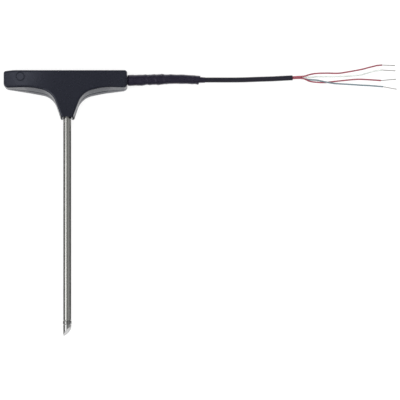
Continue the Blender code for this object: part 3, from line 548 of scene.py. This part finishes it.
def rounding(start, corner, end, steps):
    """Rings of a rounded edge, from one ring to another by way of their sharp corner."""
    rings = []
    for step in range(steps + 1):
        t = step / steps
        rings.append([(1 - t) ** 2 * a + 2 * t * (1 - t) * b + t ** 2 * c
                      for a, b, c in zip(start, corner, end)])
    return rings


# ---------------------------------------------------------------- handle

def shell_rings(side):
    """Rings of one shell, from its cavity's ceiling round the rim to its outer face."""
    rim_z = JOINT_MM + side * JOINT_GAP / 2
    ceiling_z = JOINT_MM + side * (DEPTH_MM / 2 - WALL)
    cavity_low = inset(raised(leaning(JOINT_MM), CAVITY_FLOOR - WALL), WALL)
    cavity_high = inset(raised(FACE_CORNERS, CAVITY_FLOOR - WALL), WALL)
    wall_low = outline_ring(cavity_low, rim_z)
    wall_high = outline_ring(cavity_high, ceiling_z)
    ceiling = outline_ring(inset(cavity_high, CAVITY_FILLET), ceiling_z)
    wall_end = [high + (low - high).normalized() * CAVITY_FILLET * MM
                for low, high in zip(wall_low, wall_high)]
    cavity = rounding(ceiling, wall_high, wall_end, FILLET_STEPS)

    edge_z = rim_z + side * JOINT_EDGE
    rim_corner = outline_ring(leaning(rim_z), rim_z)
    rim = rounding(outline_ring(inset(leaning(rim_z), JOINT_EDGE), rim_z), rim_corner,
                   outline_ring(leaning(edge_z), edge_z), FILLET_STEPS)
    if side > 0:
        corner = outline_ring(FACE_CORNERS, DEPTH_MM)
        flat = outline_ring(inset(FACE_CORNERS, FACE_FILLET), DEPTH_MM)
        shoulder = [high + (low - high).normalized() * FACE_FILLET * MM
                    for low, high in zip(rim[-1], corner)]
    else:
        shoulder = outline_ring(WIDEST_CORNERS, WIDEST_Z)
        corner = outline_ring(inset(WIDEST_CORNERS, REAR_CORNER), 0.0)
        flat = outline_ring(inset(WIDEST_CORNERS, REAR_ROUNDING), 0.0)
    return [*cavity, wall_low, *rim, *rounding(shoulder, corner, flat, EDGE_STEPS)]


def face_groove():
    """A cutter for the plain ring groove in the plain arm, with a round floor."""
    u, v, radius, half_width, depth = FACE_GROOVE
    turns = [pi * step / GROOVE_STEPS for step in range(GROOVE_STEPS + 1)]
    profile = [(-depth * sin(turn), radius - half_width * cos(turn)) for turn in turns]
    profile += [(OVERSHOOT, radius + half_width), (OVERSHOOT, radius - half_width)]
    return turned("face_groove", place(u, v, DEPTH_MM), (0, 0, 1), profile,
                  bored=True)


def build_spigot(side):
    """One shell's half of the stub that the boot grips."""
    spigot = rod("spigot", place(RIGHT_ARM - SPIGOT_ROOT, CABLE_HEIGHT, JOINT_MM),
                 place(RIGHT_ARM + SPIGOT_LENGTH, CABLE_HEIGHT, JOINT_MM), SPIGOT_RADIUS)
    other_half = block("other_half", place(0.0, 0.0, JOINT_MM - side * FAR),
                       place(FAR, FAR, JOINT_MM + side * JOINT_GAP / 2))
    combine(spigot, [other_half])
    return spigot


def shell_cutters(side):
    """Cutters for the bores, the notch at the tube, and the front's or rear's own details."""
    floor, top, pocket = SEAL_POCKET
    cutters = [
        rod("tube_bore", place(0.0, -OVERSHOOT, JOINT_MM), place(0.0, TUBE_INSIDE, JOINT_MM),
            TUBE_BORE),
        rod("seal_pocket", place(0.0, floor, JOINT_MM), place(0.0, top, JOINT_MM), pocket),
        rod("cable_bore", place(RIGHT_ARM - 3 * WALL, CABLE_HEIGHT, JOINT_MM),
            place(FAR, CABLE_HEIGHT, JOINT_MM), CABLE_BORE),
        block("notch", place(-NOTCH_HALF_WIDTH, -OVERSHOOT, -FAR),
              place(NOTCH_HALF_WIDTH, NOTCH_HEIGHT, FAR)),
    ]
    if side > 0:
        return [*cutters, face_groove()]
    radius, depth = SCREW_RECESS
    for number, (u, v) in enumerate(SCREWS, start=1):
        below = place(u, v, -OVERSHOOT)
        cutters.append(rod(f"recess_{number}", below, place(u, v, depth), radius))
        cutters.append(rod(f"hole_{number}", below, place(u, v, FAR), SCREW_HOLE))
    return cutters


def build_shell(name, node, side):
    """One half of the handle: side is 1 for the front and -1 for the rear."""
    shell = loft(name, shell_rings(side))
    combine(shell, [build_spigot(side)], "UNION")
    combine(shell, shell_cutters(side))
    smooth_up_to(shell.data, SMOOTH_ANGLE)
    shell.modifiers.new("even_normals", "WEIGHTED_NORMAL").keep_sharp = True
    finish_piece(shell, "handle_plastic", node)


# ---------------------------------------------------------------- probe

def build_tube():
    low, high = TUBE_BOX
    length = (high.y - low.y) / MM
    radius = (high.x - low.x) / 2 / MM
    inner = radius - TUBE_WALL
    tube = turned("steel_tube", Vector((TUBE_X, low.y, JOINT_Z)), (0, 1, 0),
                  ((0.0, inner), (0.0, radius - TUBE_EDGE), (TUBE_EDGE, radius),
                   (length, radius), (length, inner)), PROBE_SIDES, bored=True)
    finish_piece(tube, "stainless_steel", "probe_tube")


def build_ring():
    """The dark ring behind the tip, with a crowned outside."""
    low, high = RING_BOX
    height = (high.y - low.y) / MM
    radius = (high.x - low.x) / 2 / MM
    fullness = 0.3              # under 1, so that the crown is flat with round edges
    profile = [(0.0, RING_BORE)]
    for step in range(EDGE_STEPS + 1):
        turn = pi * (step / EDGE_STEPS - 0.5)
        crown = RING_CROWN * max(cos(turn), 0.0) ** fullness
        profile.append((height / 2 * (1 + sin(turn)), radius - RING_CROWN + crown))
    profile.append((height, RING_BORE))
    ring = turned("sensor_ring", Vector((TUBE_X, low.y, JOINT_Z)), (0, 1, 0), profile,
                  PROBE_SIDES, bored=True)
    finish_piece(ring, "dark_ring", "tip_ring")


def cut_bevel(mesh, on_axis):
    """Cut off what lies outside the bevel's plane, and close the cut with one face."""
    outwards = Vector((BEVEL_ACROSS, -TIP_RADIUS, BEVEL_FORWARD)).normalized()
    shape = bmesh.new()
    shape.from_mesh(mesh)
    cut = bmesh.ops.bisect_plane(shape, geom=[*shape.verts, *shape.edges, *shape.faces],
                                 plane_co=on_axis, plane_no=outwards, clear_outer=True)
    rim = [item for item in cut["geom_cut"] if isinstance(item, bmesh.types.BMEdge)]
    bmesh.ops.contextual_create(shape, geom=rim)
    bmesh.ops.recalc_face_normals(shape, faces=shape.faces)
    shape.to_mesh(mesh)
    shape.free()


def build_tip():
    """The solid tip, ground off to a slanted face that leaves a point on the left."""
    low, high = TIP_BOX
    before_cut = -0.5           # starts below the tip's point, where the bevel cuts it off
    tip = turned("ground_tip", Vector((TUBE_X, low.y, JOINT_Z)), (0, 1, 0),
                 ((before_cut, TIP_RADIUS), (TIP_BODY - TIP_EDGE, TIP_RADIUS),
                  (TIP_BODY, TIP_RADIUS - TIP_EDGE), (TIP_BODY, SPIGOT_OF_TIP),
                  ((high.y - low.y) / MM, SPIGOT_OF_TIP)), PROBE_SIDES)
    drop = (BEVEL_ACROSS ** 2 + BEVEL_FORWARD ** 2) ** 0.5
    cut_bevel(tip.data, Vector((TUBE_X, low.y + drop * MM, JOINT_Z)))
    smooth_up_to(tip.data, TIP_SMOOTH_ANGLE)
    finish_piece(tip, "tip_steel", "probe_tip", slot="stainless_steel")


# ---------------------------------------------------------------- lead

def smooth_route(points, spacing):
    """Even points on a Catmull-Rom curve through a route's own points."""
    steps = 20
    padded = [2 * points[0] - points[1], *points, 2 * points[-1] - points[-2]]
    fine = [points[0]]
    for a, b, c, d in zip(padded, padded[1:], padded[2:], padded[3:]):
        for step in range(1, steps + 1):
            t = step / steps
            fine.append(((2 * b) + (c - a) * t + (2 * a - 5 * b + 4 * c - d) * t ** 2
                         + (3 * b - a - 3 * c + d) * t ** 3) / 2)
    length = sum((high - low).length for low, high in zip(fine, fine[1:]))
    pieces = max(round(length / spacing), 1)
    route = [points[0]]
    travelled = 0.0
    for low, high in zip(fine, fine[1:]):
        step = (high - low).length
        while len(route) < pieces and travelled + step >= len(route) * length / pieces:
            share = (len(route) * length / pieces - travelled) / step
            route.append(low.lerp(high, share))
        travelled += step
    route.append(points[-1])
    return route


def frames_along(route):
    """(point, along, across, up) at each point of a route that never runs along Y."""
    frames = []
    for index, point in enumerate(route):
        before = route[max(index - 1, 0)]
        after = route[min(index + 1, len(route) - 1)]
        along = (after - before).normalized()
        up = along.cross(Vector((0, 1, 0))).normalized()
        across = up.cross(along).normalized()
        if across.y < 0:
            across.negate()
        if up.z < 0:
            up.negate()
        frames.append((point, along, across, up))
    return frames


def cable_frame(frames, u):
    """The frame of the cable's route at a place along u, between its even points."""
    x = TUBE_X + u * MM
    for (low, _, _, _), (high, along, across, up) in zip(frames, frames[1:]):
        if high.x > x:
            break
    share = (x - low.x) / (high.x - low.x)
    return low.lerp(high, share), along, across, up


def sleeve(name, frames, start, length, outer, inner, shift, sides):
    """A hollow sleeve on the cable, from a place along u, in millimetres.

    outer(s, turn) is its radius at a distance s from its start, and turn goes from the
    side towards the handle's top, over the front. inner(s) is its bore's radius, and
    shift(s, turn) moves a point along.
    """
    count = round(length / SLEEVING_SPACING)
    outer_rings = []
    inner_rings = []
    for step in range(count + 1):
        s = length * step / count
        middle, along, across, up = cable_frame(frames, start + s)
        outer_ring = []
        inner_ring = []
        for i in range(sides):
            turn = 2 * pi * i / sides
            way = cos(turn) * across + sin(turn) * up
            slide = along * shift(s, turn) * MM
            outer_ring.append(middle + slide + way * outer(s, turn) * MM)
            inner_ring.append(middle + slide + way * inner(s) * MM)
        outer_rings.append(outer_ring)
        inner_rings.append(inner_ring)
    return hollow(name, outer_rings + inner_rings[::-1], smooth_angle=50.0)


def hump(x, middle, width):
    return exp(-((x - middle) / width) ** 2)


def ease(x, start, end):
    """0 before start, 1 after end, and a soft step between."""
    t = min(max((x - start) / (end - start), 0.0), 1.0)
    return t * t * (3 - 2 * t)


def lay_lumps(s, turn):
    """The cores' lay, which shows through near the grip and most on the front."""
    wave = 0.5 + 0.5 * cos(2 * pi * s / LAY_PITCH - turn - LAY_PHASE)
    height = 0.2 + 0.2 * max(sin(turn), 0.0)
    return height * wave ** 3 * ease(s, 7.0, 10.0) * (1 - ease(s, 25.0, 30.0))


def unevenness(s, turn):
    """Slow waves that the shrinking leaves in the sleeving, and swells on its lower side."""
    below = max(-cos(turn), 0.0)
    swell_all_round = 0.1 * hump(s, 19.0, 6.0)
    two_waves = 0.05 * cos(2 * turn + 0.9 * s) * ease(s, 4.0, 8.0)
    three_waves = 0.03 * cos(3 * turn - 0.7 * s) * ease(s, 26.0, 30.0)
    near_swell = 0.22 * below * ease(s, 3.5, 7.0) * (1 - ease(s, 10.4, 11.8))
    far_swell = 0.16 * below * hump(s, 18.5, 4.0)
    return swell_all_round + two_waves + three_waves + near_swell + far_swell


def end_crease(s, turn):
    """A slanted crease with a ridge beside it on the front, and a lip below, at the end."""
    front = max(sin(turn), 0.0)
    below = max(-cos(turn), 0.0)
    past_crease = cos(turn) - 0.35 + 0.24 * (s - 39.0)
    crease = -0.3 * front * hump(past_crease, -0.05, 0.2) * ease(s, 38.0, 41.0)
    ridge = 0.3 * front * hump(past_crease, 0.45, 0.26) * hump(s, 42.0, 2.0)
    lip = 0.45 * below ** 3 * hump(s, 45.3, 1.2)
    return crease + ridge + lip


def boot_outer(s, turn):
    """Sleeving shrunk over the spigot and the cable, narrower step by step."""
    radius = COLLAR_RADIUS - MOUTH_ROUNDING * (1 - ease(s, 0.0, MOUTH_LENGTH)) ** 2
    for lost, start, end in BOOT_NARROWINGS:
        radius -= lost * ease(s, start, end)
    return radius + lay_lumps(s, turn) + unevenness(s, turn) + end_crease(s, turn)


def boot_inner(s):
    return COLLAR_BORE if s < COLLAR_DEPTH else BOOT_BORE


def boot_shift(s, turn):
    """The far end is cut at a slant."""
    return END_SLANT * cos(turn) * ease(s, 40.0, BOOT_LENGTH)


def sleeve_outer(s, turn):
    """The thinner sleeve inside the boot's far end, with a rounded edge where it stops."""
    taper = 0.13 * ease(s, 24.0, SLEEVE_LENGTH)
    edge = 0.06 * ease(s, SLEEVE_LENGTH - 0.3, SLEEVE_LENGTH)
    sway = 0.04 * cos(turn + 0.8 * s)
    return SLEEVE_RADIUS - taper - edge + sway


def build_sleeving(frames):
    """The boot and the thinner sleeve that shows past it."""
    boot = sleeve("shrink_boot", frames, BOOT_START, BOOT_LENGTH, boot_outer, boot_inner,
                  boot_shift, sides=96)
    finish_piece(boot, "heat_shrink", "cable_boot")
    thin = sleeve("lead_sleeve_end", frames, SLEEVE_START, SLEEVE_LENGTH, sleeve_outer,
                  lambda s: CABLE_DIAMETER / 2 + SLEEVE_CLEARANCE, lambda s, turn: 0.0,
                  sides=64)
    finish_piece(thin, "heat_shrink", "lead_sleeve")
    return [boot, thin]


def covered_wire(name, frames, radius, bore, recess, sides):
    """A solid rod that is hollow for a short way at its far end, as cut insulation is."""
    edge = 0.06
    rings = [circle(point, across, up, radius * MM, sides)
             for point, _, across, up in frames[:-1]]
    point, along, across, up = frames[-1]
    for back, ring_radius in ((edge, radius), (0.0, radius - edge), (0.0, bore + edge / 2),
                              (edge, bore), (recess, bore)):
        rings.append(circle(point - along * back * MM, across, up, ring_radius * MM, sides))
    return loft(name, rings)


def build_cable():
    """The jacket with its sleeving."""
    route = smooth_route([place(*point) for point in CABLE_ROUTE], 0.6 * MM)
    frames = frames_along(route)
    jacket = covered_wire("jacket", frames, CABLE_DIAMETER / 2, bore=1.22, recess=2.5, sides=48)
    finish_piece(jacket, "cable_jacket", "cable_jacket")
    build_sleeving(frames)


def strand_bundle(name, start, end, radius):
    """A bared core end: six tinned strands twisted round a seventh, looser at the end."""
    strands = 7
    pitch = 3.2
    loosening = 0.15
    sides = 8
    levels = 40
    line = end - start
    along = line.normalized()
    across = Vector((0, 1, 0)) - along * along.y
    across.normalize()
    up = along.cross(across)
    strand = radius / 3
    points = []
    faces = []
    for number in range(strands):
        for level in range(levels + 1):
            share = level / levels
            turn = 2 * pi * (share * line.length / MM / pitch + number / (strands - 1))
            away = 2 * strand * (1 + loosening * ease(share, 0.7, 1.0))
            if number == strands - 1:
                away = 0.0
            way = cos(turn) * across + sin(turn) * up
            middle = start.lerp(end, share) + way * away * MM
            points += circle(middle, across, up, strand * MM, sides)
        first = number * (levels + 1) * sides
        last = first + levels * sides
        faces += [tuple(first + i for i in face)
                  for face in ring_faces(levels + 1, sides, closed=False)]
        faces += [tuple(first + i for i in range(sides)), tuple(last + i for i in range(sides))]
    return mesh_object(name, points, faces)


def build_cores():
    """The four insulated cores and their bared ends."""
    hidden_start = Vector((2.2 * MM, 0.0, 0.0))     # of each core, in the jacket's cut end
    overlap = 0.6 * MM                              # of the strands in the insulation
    for name, route_mm in CORE_ROUTES.items():
        points = [place(*point) for point in route_mm]
        route = smooth_route([points[0] - hidden_start, *points], 0.35 * MM)
        core = covered_wire(f"core_wire_{name}", frames_along(route), CORE_DIAMETER / 2,
                            bore=0.29, recess=0.8, sides=20)
        finish_piece(core, f"core_{name.split('_')[0]}", f"core_{name}")
        end = place(*STRAND_ENDS[name])
        start = route[-1] + (route[-1] - end).normalized() * overlap
        strands = strand_bundle(f"bare_strands_{name}", start, end, STRAND_DIAMETER / 2)
        finish_piece(strands, "tinned_copper", f"strands_{name}")


# ---------------------------------------------------------------- stage

FLOOR_GLOW = 0.78
FLOOR_REACH = 6.5               # in metres, as is the rest of the stage
BACKDROP_GLOW = 1.15            # matches the lit floor, so that no horizon shows
BACKDROP_RADIUS = 9.0
BACKDROP_HEIGHT = 7.0

# Cards that only reflections see, as a photographer's flags and bounce cards. Those on the
# floor give the polished steel its dark edges: grey, and two corners u, v in millimetres.
FLOOR_CARD_Z = 0.1
FLOOR_CARDS = (
    ("left_flag", 0.03, (-260.0, -220.0), (-5.0, 1.0)),
    ("right_flag", 0.05, (5.0, -133.0), (260.0, 1.0)),
    ("under_flag", 0.03, (-5.0, -133.0), (5.0, -6.0)),
    ("tip_flag", 0.5, (-5.0, -165.0), (260.0, -133.0)),
)
# A pale one over the plain arm gives its end a soft light: corners u, v and height in mm
ARM_CARD = ((-40.0, 20.5), (-27.0, 20.5), (-19.0, 38.0), (-40.0, 38.0))
ARM_CARD_Z = 60.0
ARM_CARD_GLOW = 1.2
# A black one overhead draws the dark line along the middle of the tube: two corners x, y
# and height in metres
OVERHEAD_STRIP = ((0.17, -1.6), (0.31, 1.6))
OVERHEAD_STRIP_Z = 1.0


def emitter(name, strength):
    """A white glow that reflects nothing, or plain black at no strength."""
    material = bpy.data.materials.new(name)
    material.use_nodes = True
    shader = material.node_tree.nodes["Principled BSDF"]
    shader.inputs["Base Color"].default_value = (0.0, 0.0, 0.0, 1.0)
    shader.inputs["Specular IOR Level"].default_value = 0.0
    shader.inputs["Emission Color"].default_value = (1.0, 1.0, 1.0, 1.0)
    shader.inputs["Emission Strength"].default_value = strength
    return material


def hide_from(thing, camera=False, diffuse=False, glossy=False, shadow=False):
    """Choose which rays don't see a stage piece or a light."""
    thing.visible_camera = not camera
    thing.visible_diffuse = not diffuse
    thing.visible_glossy = not glossy
    thing.visible_transmission = not glossy
    thing.visible_shadow = not shadow


def rectangle(start, end):
    """The corners of a rectangle between two of them."""
    return (start, (end[0], start[1]), end, (start[0], end[1]))


def build_floor(floor_z):
    corners = rectangle((-FLOOR_REACH, -FLOOR_REACH), (FLOOR_REACH, FLOOR_REACH))
    floor = mesh_object("floor", [(x, y, floor_z) for x, y in corners], [(0, 1, 2, 3)])
    floor.data.materials.append(surface("light_table", ((0.2, 0.2, 0.2), (0.21, 0.21, 0.21)),
                                        (0.75, 0.85), colour_scale=3.0, grain_scale=900.0,
                                        grain_depth=0.01, Specular_IOR_Level=0.1,
                                        Emission_Color=(1.0, 1.0, 1.0, 1.0),
                                        Emission_Strength=FLOOR_GLOW))
    return floor


def build_backdrop(floor_z):
    """A white dome that only the camera sees."""
    levels = 16
    sides = 48
    below_floor = 0.2
    rings = []
    for level in range(levels):
        rise = pi / 2 * level / levels
        middle = Vector((0.0, 0.0, floor_z - below_floor + BACKDROP_HEIGHT * sin(rise)))
        rings.append(circle(middle, Vector((1, 0, 0)), Vector((0, 1, 0)),
                            BACKDROP_RADIUS * cos(rise), sides))
    backdrop = loft("backdrop", rings)
    backdrop.data.materials.append(emitter("backdrop_white", BACKDROP_GLOW))
    hide_from(backdrop, diffuse=True, glossy=True, shadow=True)
    return backdrop


def build_card(name, corners, material):
    """A flat card that only reflections see."""
    card = mesh_object(name, corners, [(0, 1, 2, 3)])
    card.data.materials.append(material)
    hide_from(card, camera=True, diffuse=True, shadow=True)
    return card


def build_stage():
    floor_z = min(cad_box[0].z, 0.0) - 0.02 * MM
    build_floor(floor_z)
    build_backdrop(floor_z)
    for name, grey, start, end in FLOOR_CARDS:
        paint = surface(name, ((grey,) * 3, (1.1 * grey,) * 3), (0.9, 0.95),
                        Specular_IOR_Level=0.0)
        build_card(name, [place(u, v, FLOOR_CARD_Z) for u, v in rectangle(start, end)],
                            paint)
    build_card("overhead_strip",
                        [(x, y, OVERHEAD_STRIP_Z) for x, y in rectangle(*OVERHEAD_STRIP)],
                        emitter("strip_black", 0.0))
    build_card("arm_card", [place(u, v, ARM_CARD_Z) for u, v in ARM_CARD],
                        emitter("card_white", ARM_CARD_GLOW))


def area_light(name, position, target, size, watts, glossy=True):
    """A rectangular lamp that the camera doesn't see."""
    light = bpy.data.lights.new(name, "AREA")
    light.shape = "RECTANGLE"
    light.size, light.size_y = size
    light.energy = watts
    thing = bpy.data.objects.new(name, light)
    bpy.context.scene.collection.objects.link(thing)
    thing.location = position
    thing.rotation_euler = (target - thing.location).to_track_quat("-Z", "Y").to_euler()
    hide_from(thing, camera=True, glossy=not glossy)


def build_world():
    """A dim room, lighter overhead than at its horizon."""
    world = bpy.data.worlds.new("studio")
    bpy.context.scene.world = world
    world.use_nodes = True
    background = world.node_tree.nodes["Background"]
    direction = add_node(world, "ShaderNodeTexCoord")
    height = add_node(world, "ShaderNodeSeparateXYZ")
    connect(world, direction.outputs["Generated"], height.inputs["Vector"])
    sky = ramp(world, height.outputs["Z"], (0.07, 0.07, 0.075), (0.34, 0.34, 0.335), 0.0, 0.6)
    connect(world, sky, background.inputs["Color"])


def build_lights():
    build_world()
    area_light("overhead", Vector((0.05, 0.1, 1.6)), Vector((0.03, 0.0, 0.0)), (2.2, 2.2), 54.0,
               glossy=False)
    area_light("left_softbox", Vector((-0.85, -0.56, 0.86)), Vector((0.0, -0.5, 0.0)),
               (1.3, 0.9), 4.7)


def build_camera():
    """Straight above, from far enough that the perspective is slight."""
    distance = 2.0
    view_width = 256.4 * MM     # at the height of the handle's joint
    middle_x = 84.5 * MM
    middle_y = 2.0 * MM
    camera = bpy.data.cameras.new("camera")
    camera.sensor_width = 36.0
    camera.lens = camera.sensor_width * distance / view_width
    camera.clip_start = 0.05
    camera.clip_end = 20.0
    thing = bpy.data.objects.new("camera", camera)
    bpy.context.scene.collection.objects.link(thing)
    thing.location = (middle_x, middle_y, JOINT_Z + distance)
    bpy.context.scene.camera = thing
    bpy.context.scene.view_settings.view_transform = "Standard"


def finish_shown_nodes():
    """Give the CAD nodes that stay a material of their own."""
    for name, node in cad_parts.items():
        for prefix, material in SHOWN_NODES.items():
            if name.startswith(prefix):
                node.data.materials.clear()
                node.data.materials.append(MATERIALS[material])


finish_shown_nodes()
build_camera()
build_cable()
build_cores()
build_shell("grip_front", "front_shell", 1)
build_shell("grip_rear", "rear_shell", -1)
build_tube()
build_ring()
build_tip()
build_stage()
build_lights()

bpy.context.view_layer.update()
